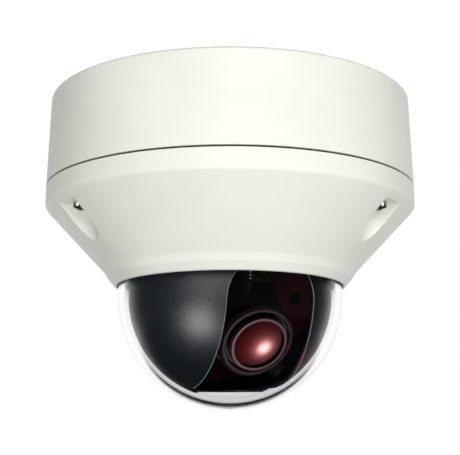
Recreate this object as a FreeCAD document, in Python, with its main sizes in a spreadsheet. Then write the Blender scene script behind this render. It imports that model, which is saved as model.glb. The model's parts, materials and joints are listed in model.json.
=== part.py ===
"""Vandal-resistant pan, tilt and zoom dome camera that hangs from a ceiling.

The origin is the centre of the ceiling face, +Z points up into the ceiling and -Y is the front.
Every height below is therefore negative. Driving sizes, in millimetres and degrees, are in the sheet "Dims".
"""

import FreeCAD
import Part
import math
import os
import re
import Sketcher
from FreeCAD import Placement, Rotation, Vector

DRIVING_SIZES = [
    # housing
    ("base_top_r", 80.0, "outer radius of the base at the ceiling"),
    ("base_rim_r", 81.4, "outer radius of the base at its rim"),
    ("base_inner_r", 76.0, "inner radius of the base"),
    ("base_depth", 39.8, "height of the base"),
    ("top_plate", 4.0, "thickness of the ceiling plate"),
    ("bolt_circle", 120.0, "pitch circle of the ceiling bolts"),
    ("bolt_hole_r", 2.75, "radius of a ceiling bolt hole"),
    ("cable_hole_r", 15.0, "radius of the central cable hole"),
    ("conduit_azimuth", 135.0, "direction of the side conduit entry"),
    ("conduit_drop", 20.0, "height of the conduit axis below the ceiling"),
    ("conduit_r", 10.5, "radius of the side conduit entry"),
    ("gap", 0.9, "thickness of the main gasket"),
    ("cover_rim_r", 81.3, "outer radius of the cover at its rim"),
    ("ridge_r", 81.6, "outer radius where the band meets the cone"),
    ("ridge_drop", 48.6, "depth of that ridge"),
    ("throat_r", 55.4, "outer radius at the foot of the cone"),
    ("throat_drop", 76.5, "depth of the foot of the cone"),
    ("lip_r", 51.6, "outer radius of the lip"),
    ("lip_drop", 83.0, "depth of the lip"),
    ("mouth_r", 49.75, "radius of the opening that the dome passes through"),
    ("shelf_drop", 69.0, "depth of the shelf that carries the dome"),
    ("ring_screw_circle_r", 55.9, "radius at which the dome ring's screws stand"),
    ("cover_screw_circle_r", 71.0, "radius at which the cover screws stand"),
    ("pocket_r", 7.4, "radius of a cover screw pocket's inner end, and half its width"),
    ("pocket_run", 12.0, "length of a pocket beyond its screw, out through the cone"),
    ("pocket_wall", 2.4, "thickness of the wall around a pocket"),
    ("seat_drop", 52.2, "depth of the pockets' roofs, where the cover screws seat"),
    ("gasket_outer_r", 80.5, "outer radius of the main gasket"),
    ("gasket_inner_r", 77.4, "inner radius of the main gasket"),
    ("cover_inner_r", 78.0, "inner radius of the cover's band"),
    ("cover_boss_r", 5.2, "radius of a base boss that takes a cover screw"),
    ("standoff_r", 4.0, "radius of a base standoff that carries the chassis"),
    # fasteners
    ("cover_screw_r", 2.0, "shank radius of a cover screw"),
    ("cover_clear_r", 2.1, "radius of a cover screw's clearance hole"),
    ("cover_tapped_r", 2.05, "radius of a cover screw's tapped hole"),
    ("cover_head_r", 3.7, "head radius of a cover screw"),
    ("cover_head", 3.4, "height of a cover screw's head"),
    ("cover_head_crown_r", 6.5, "radius of the crown of a cover screw's head"),
    ("middle_screw_r", 1.5, "shank radius of a chassis, yoke or motor screw"),
    ("middle_clear_r", 1.6, "radius of its clearance hole"),
    ("middle_tapped_r", 1.55, "radius of its tapped hole"),
    ("middle_head_r", 2.7, "radius of its head"),
    ("small_screw_r", 1.2, "shank radius of a ring or board screw"),
    ("small_clear_r", 1.3, "radius of its clearance hole"),
    ("small_head_r", 2.2, "radius of its head"),
    # dome and liner
    ("sphere_drop", 87.1, "depth of the centre of the dome and the liner"),
    ("dome_r", 49.2, "outer radius of the clear dome"),
    ("dome_wall", 2.8, "thickness of the clear dome"),
    ("dome_flange_r", 53.4, "outer radius of the clear dome's flange"),
    ("dome_flange_wall", 2.5, "thickness of that flange"),
    ("dome_gasket_wall", 0.8, "thickness of the gasket under the flange"),
    ("clamp_outer_r", 60.0, "outer radius of the dome retaining ring"),
    ("clamp_inner_r", 47.0, "inner radius of the dome retaining ring"),
    ("clamp_wall", 2.0, "thickness of the dome retaining ring"),
    ("liner_r", 44.5, "outer radius of the liner"),
    ("liner_wall", 1.3, "thickness of the liner"),
    ("liner_top_drop", 60.0, "depth of the liner's top edge"),
    ("liner_foot_drop", 128.7, "depth of the liner's flat foot"),
    ("liner_foot_r", 15.0, "radius of the round opening in the liner's foot"),
    ("slot_half", 19.3, "half width of the viewing slot, and radius of its arch"),
    ("arch_drop", 93.2, "depth of the centre of the slot's arch"),
    ("liner_screw_drop", 66.0, "depth of the screws that hold the liner to the yoke"),
    # chassis and pan drive
    ("chassis_r", 66.0, "radius of the chassis plate"),
    ("chassis_drop", 34.0, "depth of the chassis plate's lower face"),
    ("chassis_wall", 1.6, "thickness of the chassis plate"),
    ("standoff_circle_r", 60.0, "radius at which the chassis standoffs stand"),
    ("board_half_y", 44.0, "half length of each circuit board"),
    ("board_near_x", 16.0, "inner edge of each circuit board"),
    ("board_far_x", 51.0, "outer edge of each circuit board"),
    ("board_drop", 25.8, "depth of the boards' upper face"),
    ("board_wall", 1.6, "thickness of each circuit board"),
    ("board_inset", 3.5, "distance of a board screw from the board's edges"),
    ("spindle_length", 15.0, "length of the pan spindle below the chassis"),
    ("spindle_r", 10.0, "outer radius of the hollow pan spindle"),
    ("spindle_bore_r", 6.0, "bore of the pan spindle"),
    ("flange_r", 16.0, "radius of the spindle's flange and of the turntable's hub"),
    ("lock_nut_r", 14.0, "radius of the pan lock nut"),
    ("bush_r", 12.0, "outer radius of the pan bush"),
    ("running_gap", 0.05, "radial clearance of a running fit"),
    ("turntable_r", 42.0, "radius of the turntable"),
    ("turntable_drop", 46.0, "depth of the turntable's lower face"),
    ("turntable_wall", 2.5, "thickness of the turntable"),
    ("hub_play", 0.4, "space between the turntable's hub and the spindle's flange"),
    ("pan_gear_bore_r", 37.2, "inner radius of the pan gear"),
    ("pan_gear_wall", 3.5, "thickness of the pan gear"),
    ("pan_motor_r", 10.0, "radius of the pan motor"),
    ("pan_motor_height", 16.0, "height of the pan motor"),
    ("pan_motor_ear_x", 14.5, "distance of the pan motor's screw holes from its shaft"),
    ("pan_module", 0.8, "module of the pan gears"),
    ("pan_teeth", 115, "teeth on the pan gear"),
    ("pan_pinion_teeth", 14, "teeth on the pan pinion"),
    ("pan_rest", 24.4, "pan angle at rest, to the right of the front"),
    # tilt drive
    ("tilt_axis_drop", 90.0, "depth of the tilt axis"),
    ("tilt_rest", 35.0, "angle of the lens below the horizon at rest"),
    ("arm_near_x", 37.3, "inner face of a yoke arm"),
    ("arm_wall", 3.0, "thickness of a yoke arm"),
    ("arm_half", 10.5, "half width of a yoke arm"),
    ("arm_foot_x", 29.0, "inner edge of a yoke arm's foot"),
    ("arm_foot_wall", 2.0, "thickness of a yoke arm's foot"),
    ("yoke_screw_x", 33.0, "place of the yoke screws along the tilt axis"),
    ("yoke_screw_y", 7.0, "place of the yoke screws in front of and behind it"),
    ("tilt_bush_r", 4.0, "outer radius of a tilt bush"),
    ("pivot_r", 2.5, "radius of a tilt pivot"),
    ("tilt_module", 0.8, "module of the tilt gears"),
    ("tilt_teeth", 74, "teeth on a full tilt gear"),
    ("tilt_pinion_teeth", 12, "teeth on the tilt pinion"),
    ("tilt_pinion_lean", 20.0, "lean of the tilt pinion behind the vertical"),
    ("tilt_gear_x", 24.6, "inner face of the tilt gear"),
    ("tilt_gear_wall", 3.0, "thickness of the tilt gear"),
    ("tilt_motor_r", 7.5, "radius of the tilt motor"),
    ("tilt_motor_length", 17.0, "length of the tilt motor"),
    ("tilt_frame_half", 8.0, "half width of the tilt frame's bar"),
    # head
    ("hub_r", 17.0, "outer radius of the azimuth disc's hub"),
    ("disc_r", 36.3, "outer radius of the azimuth disc"),
    ("disc_back", 3.2, "back face of the azimuth disc along the lens axis"),
    ("disc_wall", 2.5, "thickness of the azimuth disc"),
    ("disc_teeth", 120, "scallops around the azimuth disc"),
    ("disc_bore_r", 14.0, "bore of the azimuth disc and its hub"),
    ("scallop_depth", 0.85, "depth of the scallops"),
    ("disc_window_r", 3.2, "radius of a hole in the azimuth disc"),
    ("disc_window_circle_r", 28.5, "radius at which those holes stand"),
    ("sensor_tube_r", 13.9, "outer radius of the sensor housing"),
    ("sensor_bore_r", 11.5, "bore of the sensor housing"),
    ("lens_flange_wall", 1.5, "thickness of the flange between housing and barrel"),
    ("barrel_front", 34.4, "front face of the lens barrel along the lens axis"),
    ("lens_edge", 34.0, "where the front lens's curve starts, along the lens axis"),
    ("lens_tip", 36.3, "tip of the front lens along the lens axis"),
    ("retainer_front", 35.3, "front face of the front retaining ring"),
    ("cell_bore_r", 9.2, "bore of a moving lens cell"),
    ("cell_length", 5.0, "length of a moving lens cell"),
    ("barrel_r", 12.5, "outer radius of the lens barrel"),
    ("barrel_bore_r", 10.9, "bore of the lens barrel"),
    ("zoom_module", 0.6, "module of the zoom gears"),
    ("zoom_teeth", 60, "teeth on the zoom ring"),
    ("zoom_pinion_teeth", 12, "teeth on the zoom pinion"),
    ("zoom_motor_angle", -45.0, "direction of the zoom motor around the lens axis"),
    ("zoom_back", 9.6, "back face of the zoom ring along the lens axis"),
    ("zoom_wall", 4.0, "thickness of the zoom ring's teeth"),
    ("zoom_length", 7.2, "length of the zoom ring"),
    ("zoom_sleeve_r", 14.6, "outer radius of the zoom ring's sleeve"),
    ("zoom_motor_r", 4.0, "radius of the zoom motor"),
    ("zoom_motor_back", 16.0, "back face of the zoom motor"),
    ("bracket_back", 14.6, "back face of the zoom motor's bracket"),
    ("bracket_wall", 1.2, "thickness of the zoom motor's bracket"),
    ("focus_back", 17.4, "back face of the focus ring"),
    ("focus_front", 33.5, "front face of the focus ring"),
    ("focus_r", 16.5, "outer radius of the focus ring"),
    ("focus_ribs", 90, "ribs around the focus ring"),
    ("focus_rib_depth", 0.35, "depth of those ribs"),
    ("focus_chamfer", 1.3, "chamfer at the front of the focus ring"),
    ("focus_recess_r", 13.8, "radius of the recess in the front of the focus ring"),
    ("focus_recess", 1.8, "depth of that recess"),
    ("focus_collar", 6.6, "length of the smooth collar at the back of the focus ring"),
    ("knob_angle", 106.0, "direction of the lock knob around the lens axis"),
    ("knob_along", 21.0, "place of the lock knob along the lens axis"),
    ("knob_r", 2.9, "radius of the lock knob"),
    ("knob_tip", 27.2, "outer end of the lock knob from the lens axis"),
    ("knob_ribs", 18, "ribs around the lock knob"),
    ("knob_stem_r", 1.5, "radius of the lock knob's threaded stem"),
    ("knob_stem_start", 13.4, "inner end of that stem from the lens axis"),
]

COVER_SCREW_AZIMUTHS = (-150, -30, 90)
STANDOFF_AZIMUTHS = (0, 90, 180, 240, 300)
BOLT_AZIMUTHS = (45, 135, 225, 315)
RING_SCREW_AZIMUTHS = (0, 60, 120, 180, 240, 300)
SIDES = (-1, 1)

UPRIGHT = Rotation()
ALONG_X = Rotation(Vector(0, 1, 0), 90)
ALONG_Y = Rotation(Vector(1, 0, 0), -90)
LAID = Rotation(Vector(0, 1, 0), Vector(0, 0, 1), Vector(1, 0, 0), "ZXY")
Z_AXIS = Vector(0, 0, 1)

doc = FreeCAD.newDocument("dome_camera")
sheet = doc.addObject("Spreadsheet::Sheet", "Dims")
sub_parts = []


def fill_sheet():
    for row, (alias, value, meaning) in enumerate(DRIVING_SIZES, start=1):
        sheet.set(f"A{row}", meaning)
        sheet.set(f"B{row}", str(value))
        sheet.setAlias(f"B{row}", alias)
    doc.recompute()


ALIAS_PATTERN = re.compile(r"\b(" + "|".join(entry[0] for entry in DRIVING_SIZES) + r")\b")


def bound(expression):
    """The expression as another object writes it, with each alias read from the sheet."""
    return ALIAS_PATTERN.sub(r"Dims.\1", str(expression))


def size(expression):
    """The present value of an expression."""
    return float(sheet.evalExpression(str(expression)))


def bind(thing, **settings):
    for name, expression in settings.items():
        thing.setExpression(name, bound(expression))
    return thing


def put(thing, at, turn=UPRIGHT):
    """Place an object at three expressions, turned by a rotation."""
    thing.Placement = Placement(Vector(), turn)
    for axis, expression in zip("xyz", at):
        if str(expression) != "0":
            thing.setExpression(f"Placement.Base.{axis}", bound(expression))
    return thing


def polar(radius, azimuth, height="0"):
    return (f"({radius}) * cos({azimuth})", f"({radius}) * sin({azimuth})", height)


def radial(azimuth):
    """Turns +Z to point outward at an azimuth."""
    return Rotation(Z_AXIS, azimuth) * ALONG_X


def cylinder(radius, height, at=("0", "0", "0"), turn=UPRIGHT):
    solid = doc.addObject("Part::Cylinder", "cylinder")
    bind(solid, Radius=radius, Height=height)
    return put(solid, at, turn)


def ball(radius, at=("0", "0", "0"), low=-90, high=90):
    solid = doc.addObject("Part::Sphere", "ball")
    bind(solid, Radius=radius)
    solid.Angle1 = low
    solid.Angle2 = high
    return put(solid, at)


def block(length, width, height, at):
    """A box with its lowest corner at the given place."""
    solid = doc.addObject("Part::Box", "block")
    bind(solid, Length=length, Width=width, Height=height)
    return put(solid, at)


def fuse(*solids):
    if len(solids) == 1:
        return solids[0]
    joined = doc.addObject("Part::MultiFuse", "fuse")
    joined.Shapes = list(solids)
    joined.Refine = True
    return joined


def cut(base, *tools):
    remaining = doc.addObject("Part::Cut", "cut")
    remaining.Base = base
    remaining.Tool = fuse(*tools)
    return remaining


def common(first, second):
    shared = doc.addObject("Part::Common", "common")
    shared.Base = first
    shared.Tool = second
    return shared


def group(*solids):
    """Separate identical pieces kept in one node."""
    together = doc.addObject("Part::Compound", "group")
    together.Links = list(solids)
    return together


def ring(outer, inner, height, at=("0", "0", "0"), turn=UPRIGHT):
    return cut(cylinder(outer, height, at, turn), cylinder(inner, height, at, turn))


def plane_of(body, role):
    return [feature for feature in body.Origin.OriginFeatures if feature.Role == role][0]


def turned(name, outline):
    """A body revolved about Z from a closed outline of (radius, height) expressions."""
    body = doc.addObject("PartDesign::Body", name)
    sketch = body.newObject("Sketcher::SketchObject", name + "_profile")
    sketch.AttachmentSupport = [(plane_of(body, "XZ_Plane"), "")]
    sketch.MapMode = "FlatFace"
    corners = [Vector(size(radius), size(height), 0) for radius, height in outline]
    for here, following in zip(corners, corners[1:] + corners[:1]):
        sketch.addGeometry(Part.LineSegment(here, following), False)
    for edge in range(len(outline)):
        sketch.addConstraint(Sketcher.Constraint("Coincident", edge, 2, (edge + 1) % len(outline), 1))
    for edge, coordinates in enumerate(outline):
        for kind, expression in zip(("DistanceX", "DistanceY"), coordinates):
            constraint = sketch.addConstraint(Sketcher.Constraint(kind, -1, 1, edge, 1, size(expression)))
            sketch.setExpression(f"Constraints[{constraint}]", bound(expression))
    revolution = body.newObject("PartDesign::Revolution", name + "_turned")
    revolution.Profile = sketch
    revolution.ReferenceAxis = (sketch, ["V_Axis"])
    revolution.Angle = 360
    doc.recompute()
    return body


def ring_edges(shape, radius, height):
    """Names of the round edges of a turned shape at a radius and height."""
    names = []
    for index, edge in enumerate(shape.Edges, start=1):
        curve = edge.Curve
        if isinstance(curve, Part.Circle):
            if abs(curve.Radius - radius) < 0.01 and abs(curve.Center.z - height) < 0.01:
                names.append(f"Edge{index}")
    return names


def soften(body, radius, places):
    """Round the ring edges of a turned body at the given (radius, height) expressions."""
    base = body.Tip
    names = []
    for edge_radius, height in places:
        found = ring_edges(base.Shape, size(edge_radius), size(height))
        if not found:
            raise ValueError(f"no edge at {edge_radius}, {height} on {body.Label}")
        names += found
    fillet = body.newObject("PartDesign::Fillet", body.Label + "_rounding")
    fillet.Base = (base, names)
    bind(fillet, Radius=radius)
    doc.recompute()
    return body


def keep(label, result, frame=Placement()):
    """Name a finished sub-part and put it in place."""
    result.Label = label
    result.Placement = frame
    sub_parts.append(result)
    return result


def made(label, shape, frame=Placement()):
    """A sub-part whose shape comes from a curve formula."""
    feature = doc.addObject("Part::Feature", label)
    feature.Shape = shape
    return keep(label, feature, frame.multiply(shape.Placement))


def pan_frame():
    """X along the tilt axis, -Y the way the lens looks, before it is tilted."""
    return Placement(Vector(), Rotation(Z_AXIS, size("pan_rest")))


def head_frame():
    """X along the tilt axis, Z along the lens axis, from where the two cross."""
    turn = Rotation(Z_AXIS, size("pan_rest")) * Rotation(Vector(1, 0, 0), 90 + size("tilt_rest"))
    return Placement(Vector(0, 0, -size("tilt_axis_drop")), turn)


# ---------------------------------------------------------------- gears and knurls

ADDENDUM = 0.7
DEDENDUM = 1.05
PRESSURE_ANGLE = math.radians(20)
BACKLASH = 0.10
FLANK_STEPS = 3


def at_angle(radius, angle):
    return Vector(radius * math.cos(angle), radius * math.sin(angle), 0)


def tooth_points(teeth, module, middle):
    """Points of one involute tooth, from root to root, around its middle angle."""
    pitch_r = teeth * module / 2
    base_r = pitch_r * math.cos(PRESSURE_ANGLE)
    tip_r = pitch_r + ADDENDUM * module
    root_r = pitch_r - DEDENDUM * module
    start_r = max(base_r, root_r)
    half_at_pitch = (math.pi * module / 2 - BACKLASH) / 2 / pitch_r
    involute = math.tan(PRESSURE_ANGLE) - PRESSURE_ANGLE
    flank = []
    for step in range(FLANK_STEPS + 1):
        radius = start_r + (tip_r - start_r) * step / FLANK_STEPS
        roll = math.acos(min(1.0, base_r / radius))
        flank.append((radius, half_at_pitch + involute - (math.tan(roll) - roll)))
    if root_r < start_r:
        flank.insert(0, (root_r, flank[0][1]))
    rising = [at_angle(radius, middle - half) for radius, half in flank]
    falling = [at_angle(radius, middle + half) for radius, half in reversed(flank)]
    return rising + falling


def gear(teeth, module, thickness, phase):
    """A solid spur gear along +Z whose first tooth is at the phase angle, in degrees."""
    points = []
    for tooth in range(int(teeth)):
        points += tooth_points(teeth, module, math.radians(phase) + 2 * math.pi * tooth / teeth)
    outline = Part.makePolygon(points + points[:1])
    return Part.Face(outline).extrude(Vector(0, 0, thickness))


def gear_sector(teeth, module, thickness, first, last, phase):
    """Teeth between two angles in degrees, with a web that runs back to the centre."""
    pitch = 360 / teeth
    points = [Vector()]
    angle = first + (phase - first) % pitch
    while angle <= last:
        points += tooth_points(teeth, module, math.radians(angle))
        angle += pitch
    outline = Part.makePolygon(points + points[:1])
    return Part.Face(outline).extrude(Vector(0, 0, thickness))


def ribbed(radius, depth, ribs, length):
    """A round bar along +Z with ribs along it."""
    points = []
    for rib in range(int(ribs)):
        for share, inset in ((0.0, depth), (0.3, 0.0), (0.7, 0.0)):
            points.append(at_angle(radius - inset, 2 * math.pi * (rib + share) / ribs))
    outline = Part.makePolygon(points + points[:1])
    return Part.Face(outline).extrude(Vector(0, 0, length))


# ---------------------------------------------------------------- housing


def base_housing():
    cup = turned(
        "base_cup",
        [
            ("0", "0"),
            ("base_top_r", "0"),
            ("base_rim_r", "-base_depth"),
            ("base_inner_r", "-base_depth"),
            ("base_inner_r", "-top_plate"),
            ("0", "-top_plate"),
        ],
    )
    soften(cup, "1.4", [("base_top_r", "0")])
    height = "base_depth - 1"
    bosses = []
    holes = [cylinder("cable_hole_r", "top_plate + 2", ("0", "0", "-top_plate - 1"))]
    for azimuth in COVER_SCREW_AZIMUTHS:
        foot = polar("cover_screw_circle_r", azimuth, "-base_depth")
        bosses.append(cylinder("cover_boss_r", height, foot))
        holes.append(cylinder("cover_tapped_r", "14", foot))
    for azimuth in STANDOFF_AZIMUTHS:
        foot = polar("standoff_circle_r", azimuth, "-chassis_drop + chassis_wall")
        bosses.append(cylinder("standoff_r", "chassis_drop - chassis_wall - 1", foot))
        holes.append(cylinder("middle_tapped_r", "10", foot))
    for azimuth in BOLT_AZIMUTHS:
        bolt_at = polar("bolt_circle / 2", azimuth, "-top_plate - 1")
        holes.append(cylinder("bolt_hole_r", "top_plate + 2", bolt_at))
    turn = radial(size("conduit_azimuth"))
    boss_at = polar("base_inner_r - 2.5", "conduit_azimuth", "-conduit_drop")
    bosses.append(cylinder("conduit_r + 4", "9", boss_at, turn))
    hole_at = polar("base_inner_r - 6", "conduit_azimuth", "-conduit_drop")
    holes.append(cylinder("conduit_r", "20", hole_at, turn))
    keep("base_housing", cut(fuse(cup, *bosses), *holes))


def conduit_entry():
    """The plug that closes the side entry, and its O-ring."""
    turn = radial(size("conduit_azimuth"))

    def at(radius):
        return polar(radius, "conduit_azimuth", "-conduit_drop")

    face = "base_inner_r + 6.5"
    shank = cylinder("conduit_r - 0.1", "10", at(f"{face} - 9"), turn)
    head = cylinder("conduit_r + 2.6", "2.2", at(f"{face} + 1.0"), turn)
    slot_tool = cylinder("3.2", "4", at(f"{face}"), turn)
    keep("conduit_plug", cut(fuse(shank, head), slot_tool))
    keep("conduit_oring", ring("conduit_r + 2.2", "conduit_r", "0.9", at(f"{face} + 0.05"), turn))


def main_gasket():
    low = ("0", "0", "-base_depth - gap + 0.05")
    keep("main_gasket", ring("gasket_outer_r", "gasket_inner_r", "gap - 0.1", low))


CONE_RUN = "(ridge_r - throat_r) / (throat_drop - ridge_drop)"


def cone_inside(drop):
    """Inner radius of the cover's cone at a depth."""
    return f"throat_r - 4.1 + (throat_drop - ({drop})) * {CONE_RUN}"


def pocket_space(azimuth, margin, low, height):
    """A space with a round inner end, which runs straight out, widened by a margin."""
    half = f"(pocket_r + {margin})"
    end = cylinder(half, height, polar("cover_screw_circle_r", azimuth, low))
    corner_x = f"cover_screw_circle_r * cos({azimuth}) + {half} * sin({azimuth})"
    corner_y = f"cover_screw_circle_r * sin({azimuth}) - {half} * cos({azimuth})"
    run = block("pocket_run", f"2 * {half}", height, (corner_x, corner_y, low))
    run.Placement.Rotation = Rotation(Z_AXIS, azimuth)
    return fuse(end, run)


def cover_shell():
    rim = "-base_depth - gap"
    outer = turned(
        "cover_blank",
        [
            ("0", rim),
            ("cover_rim_r", rim),
            ("ridge_r", "-ridge_drop"),
            ("throat_r", "-throat_drop"),
            ("throat_r - 1.9", "-throat_drop - 3.1"),
            ("lip_r", "-lip_drop + 1.2"),
            ("lip_r - 1.0", "-lip_drop"),
            ("0", "-lip_drop"),
        ],
    )
    soften(outer, "3", [("ridge_r", "-ridge_drop")])
    soften(outer, "6", [("throat_r", "-throat_drop")])
    soften(outer, "1.0", [("lip_r", "-lip_drop + 1.2"), ("lip_r - 1.0", "-lip_drop")])
    cavity = turned(
        "cover_cavity",
        [
            ("0", f"{rim} + 1"),
            ("cover_inner_r", f"{rim} + 1"),
            ("cover_inner_r", "-ridge_drop - 0.2"),
            (cone_inside("shelf_drop"), "-shelf_drop"),
            ("mouth_r", "-shelf_drop"),
            ("mouth_r", "-lip_drop - 1"),
            ("0", "-lip_drop - 1"),
        ],
    )
    bosses = []
    pockets = []
    for azimuth in COVER_SCREW_AZIMUTHS:
        bosses.append(pocket_space(azimuth, "pocket_wall", "-100", "60"))
        pockets.append(pocket_space(azimuth, "0", "-seat_drop - 60", "60"))
        seat = polar("cover_screw_circle_r", azimuth, "-seat_drop - 1")
        pockets.append(cylinder("cover_clear_r", "20", seat))
    for azimuth in RING_SCREW_AZIMUTHS:
        pockets.append(cylinder("1.22", "4.5", polar("ring_screw_circle_r", azimuth, "-shelf_drop - 3.5")))
    hollow = cut(cavity, *bosses)
    keep("cover_shell", cut(outer, hollow, *pockets))


def cover_screws():
    screws = []
    for azimuth in COVER_SCREW_AZIMUTHS:
        seat = polar("cover_screw_circle_r", azimuth, "-seat_drop")
        shank = cylinder("cover_screw_r", "22", seat)
        tip = "-seat_drop - cover_head"
        crown_at = polar("cover_screw_circle_r", azimuth, f"{tip} + cover_head_crown_r")
        head = common(
            cylinder("cover_head_r", "cover_head", polar("cover_screw_circle_r", azimuth, tip)),
            ball("cover_head_crown_r", crown_at),
        )
        drive = cylinder("1.5", "2.8", polar("cover_screw_circle_r", azimuth, f"{tip} - 1"))
        pin = cylinder("0.5", "2.2", polar("cover_screw_circle_r", azimuth, f"{tip} + 0.1"))
        screws.append(fuse(cut(fuse(shank, head), drive), pin))
    keep("cover_screws", group(*screws))


# ---------------------------------------------------------------- dome


def dome_parts():
    inner_r = "dome_r - dome_wall"
    centre = ("0", "0", "-sphere_drop")
    flange_low = "-shelf_drop + dome_gasket_wall"
    ring_low = f"{flange_low} + dome_flange_wall"
    skirt = f"sphere_drop + {ring_low}"
    bubble = fuse(
        ball("dome_r", centre, high=0),
        cylinder("dome_r", skirt, centre),
        cylinder("dome_flange_r", "dome_flange_wall", ("0", "0", flange_low)),
    )
    keep("clear_dome", cut(bubble, ball(inner_r, centre, high=0), cylinder(inner_r, skirt, centre)))
    keep("dome_gasket", ring("dome_flange_r", "50", "dome_gasket_wall", ("0", "0", "-shelf_drop")))
    feet = []
    holes = []
    screws = []
    for azimuth in RING_SCREW_AZIMUTHS:
        at = polar("ring_screw_circle_r", azimuth, "-shelf_drop")
        feet.append(cylinder("small_head_r", "dome_gasket_wall + dome_flange_wall", at))
        hole_at = polar("ring_screw_circle_r", azimuth, "-shelf_drop - 0.2")
        holes.append(cylinder("small_clear_r", "7", hole_at))
        shank_at = polar("ring_screw_circle_r", azimuth, "-shelf_drop - 3.1")
        shank = cylinder("small_screw_r", "8.4", shank_at)
        head_at = polar("ring_screw_circle_r", azimuth, f"{ring_low} + clamp_wall")
        head = cylinder("small_head_r", "1.5", head_at)
        screws.append(fuse(shank, head))
    clamp = ring("clamp_outer_r", "clamp_inner_r", "clamp_wall", ("0", "0", ring_low))
    keep("dome_retaining_ring", cut(fuse(clamp, *feet), *holes))
    keep("ring_screws", group(*screws))


def inner_liner():
    centre = ("0", "0", "-sphere_drop")
    inner_r = "liner_r - liner_wall"
    above = "sphere_drop - liner_top_drop"
    shell = fuse(ball("liner_r", centre, high=0), cylinder("liner_r", above, centre))
    hollow = fuse(ball(inner_r, centre, high=0), cylinder(inner_r, f"{above} + 1", centre))
    above_foot = cylinder("60", "100", ("0", "0", "-liner_foot_drop"))
    wall = common(cut(shell, hollow), above_foot)
    foot = "-liner_foot_drop - 1"
    foot_opening = cylinder("liner_foot_r", "10", ("0", "0", foot))
    slot = block("2 * slot_half", "60", "liner_foot_drop + 1 - arch_drop", ("-slot_half", "-60", foot))
    arch = cylinder("slot_half", "60", ("0", "-60", "-arch_drop"), ALONG_Y)
    bosses = []
    holes = []
    for side in SIDES:
        turn = ALONG_X if side > 0 else ALONG_X.inverted()
        boss_at = (f"{side} * (arm_near_x + arm_wall + 0.02)", "0", "-liner_screw_drop")
        bosses.append(cylinder("2.6", "3", boss_at, turn))
        hole_at = (f"{side} * arm_near_x", "0", "-liner_screw_drop")
        holes.append(cylinder("1.1", "12", hole_at, turn))
    open_wall = cut(wall, slot, arch, foot_opening)
    keep("inner_liner", cut(fuse(open_wall, *bosses), *holes), pan_frame())


# ---------------------------------------------------------------- chassis and electronics


PAN_REACH = "pan_module * (pan_teeth + pan_pinion_teeth) / 2"


def chassis():
    low = "-chassis_drop"
    below = f"{low} - 2"
    holes = [cylinder("8.5", "10", ("0", "0", below))]
    holes.append(cylinder("4", "10", ("0", f"-{PAN_REACH}", below)))
    screws = []
    for azimuth in STANDOFF_AZIMUTHS:
        holes.append(cylinder("middle_clear_r", "10", polar("standoff_circle_r", azimuth, below)))
        head = cylinder("middle_head_r", "2", polar("standoff_circle_r", azimuth, below))
        shank = cylinder("middle_screw_r", "9", polar("standoff_circle_r", azimuth, low))
        screws.append(fuse(head, shank))
    for azimuth in COVER_SCREW_AZIMUTHS:
        holes.append(cylinder("7", "10", polar("cover_screw_circle_r", azimuth, below)))
    keep("chassis_plate", cut(cylinder("chassis_r", "chassis_wall", ("0", "0", low)), *holes))
    keep("chassis_screws", group(*screws))


BOARD_CORNERS = [(side, along, out) for side in SIDES for along in SIDES for out in ("near", "far")]


def board_hole(side, along, out):
    place = "board_near_x + board_inset" if out == "near" else "board_far_x - board_inset"
    return (f"{side} * ({place})", f"{along} * (board_half_y - board_inset)")


def boards():
    low = "-board_drop - board_wall"
    width = "board_far_x - board_near_x"
    for label, side, corner in (("main_board", -1, "-board_far_x"), ("power_board", 1, "board_near_x")):
        plate = block(width, "2 * board_half_y", "board_wall", (corner, "-board_half_y", low))
        holes = []
        for place in BOARD_CORNERS:
            if place[0] == side:
                holes.append(cylinder("small_clear_r", "4", board_hole(*place) + ("-board_drop - 3",)))
        keep(label, cut(plate, *holes))
    spacers = []
    screws = []
    for place in BOARD_CORNERS:
        x, y = board_hole(*place)
        foot = (x, y, "-chassis_drop + chassis_wall")
        height = "chassis_drop - chassis_wall - board_drop - board_wall"
        spacers.append(ring("2.6", "small_clear_r", height, foot))
        head = cylinder("small_head_r", "1.4", (x, y, "-board_drop"))
        screws.append(fuse(head, cylinder("small_screw_r", "6", (x, y, "-board_drop - 6"))))
    keep("board_spacers", group(*spacers))
    keep("board_screws", group(*screws))


def board_components():
    top = "-board_drop"
    shell = block("16", "21", "13.5", ("26", "-board_half_y", top))
    socket = block("12", "16", "9", ("28", "-board_half_y - 2", f"{top} + 2"))
    keep("network_jack", cut(shell, socket))
    terminal = block("12", "9", "10", ("28", "board_half_y - 17", top))
    wells = [cylinder("1.9", "4", (x, "board_half_y - 12.5", f"{top} + 7")) for x in ("31", "37")]
    keep("power_terminal", cut(terminal, *wells))
    cans = [cylinder("4", "11", (x, y, top)) for x, y in (("22", "5"), ("32", "3"), ("32", "14"))]
    keep("capacitors", group(*cans))
    keep("processor_chip", block("17", "17", "1.6", ("-41", "-8.5", top)))
    fins = [block("1.4", "24", "8", (f"-44.5 + {3.6 * index}", "-12", f"{top} + 3.1")) for index in range(7)]
    keep("heat_sink", fuse(block("25", "24", "2", ("-45", "-12", f"{top} + 1.6")), *fins))


# ---------------------------------------------------------------- pan drive

PAN_GEAR_LOW = "-turntable_drop + turntable_wall"
HUB_HEIGHT = "turntable_drop - chassis_drop - 2 - hub_play"
PINION_AZIMUTH = -90


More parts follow.
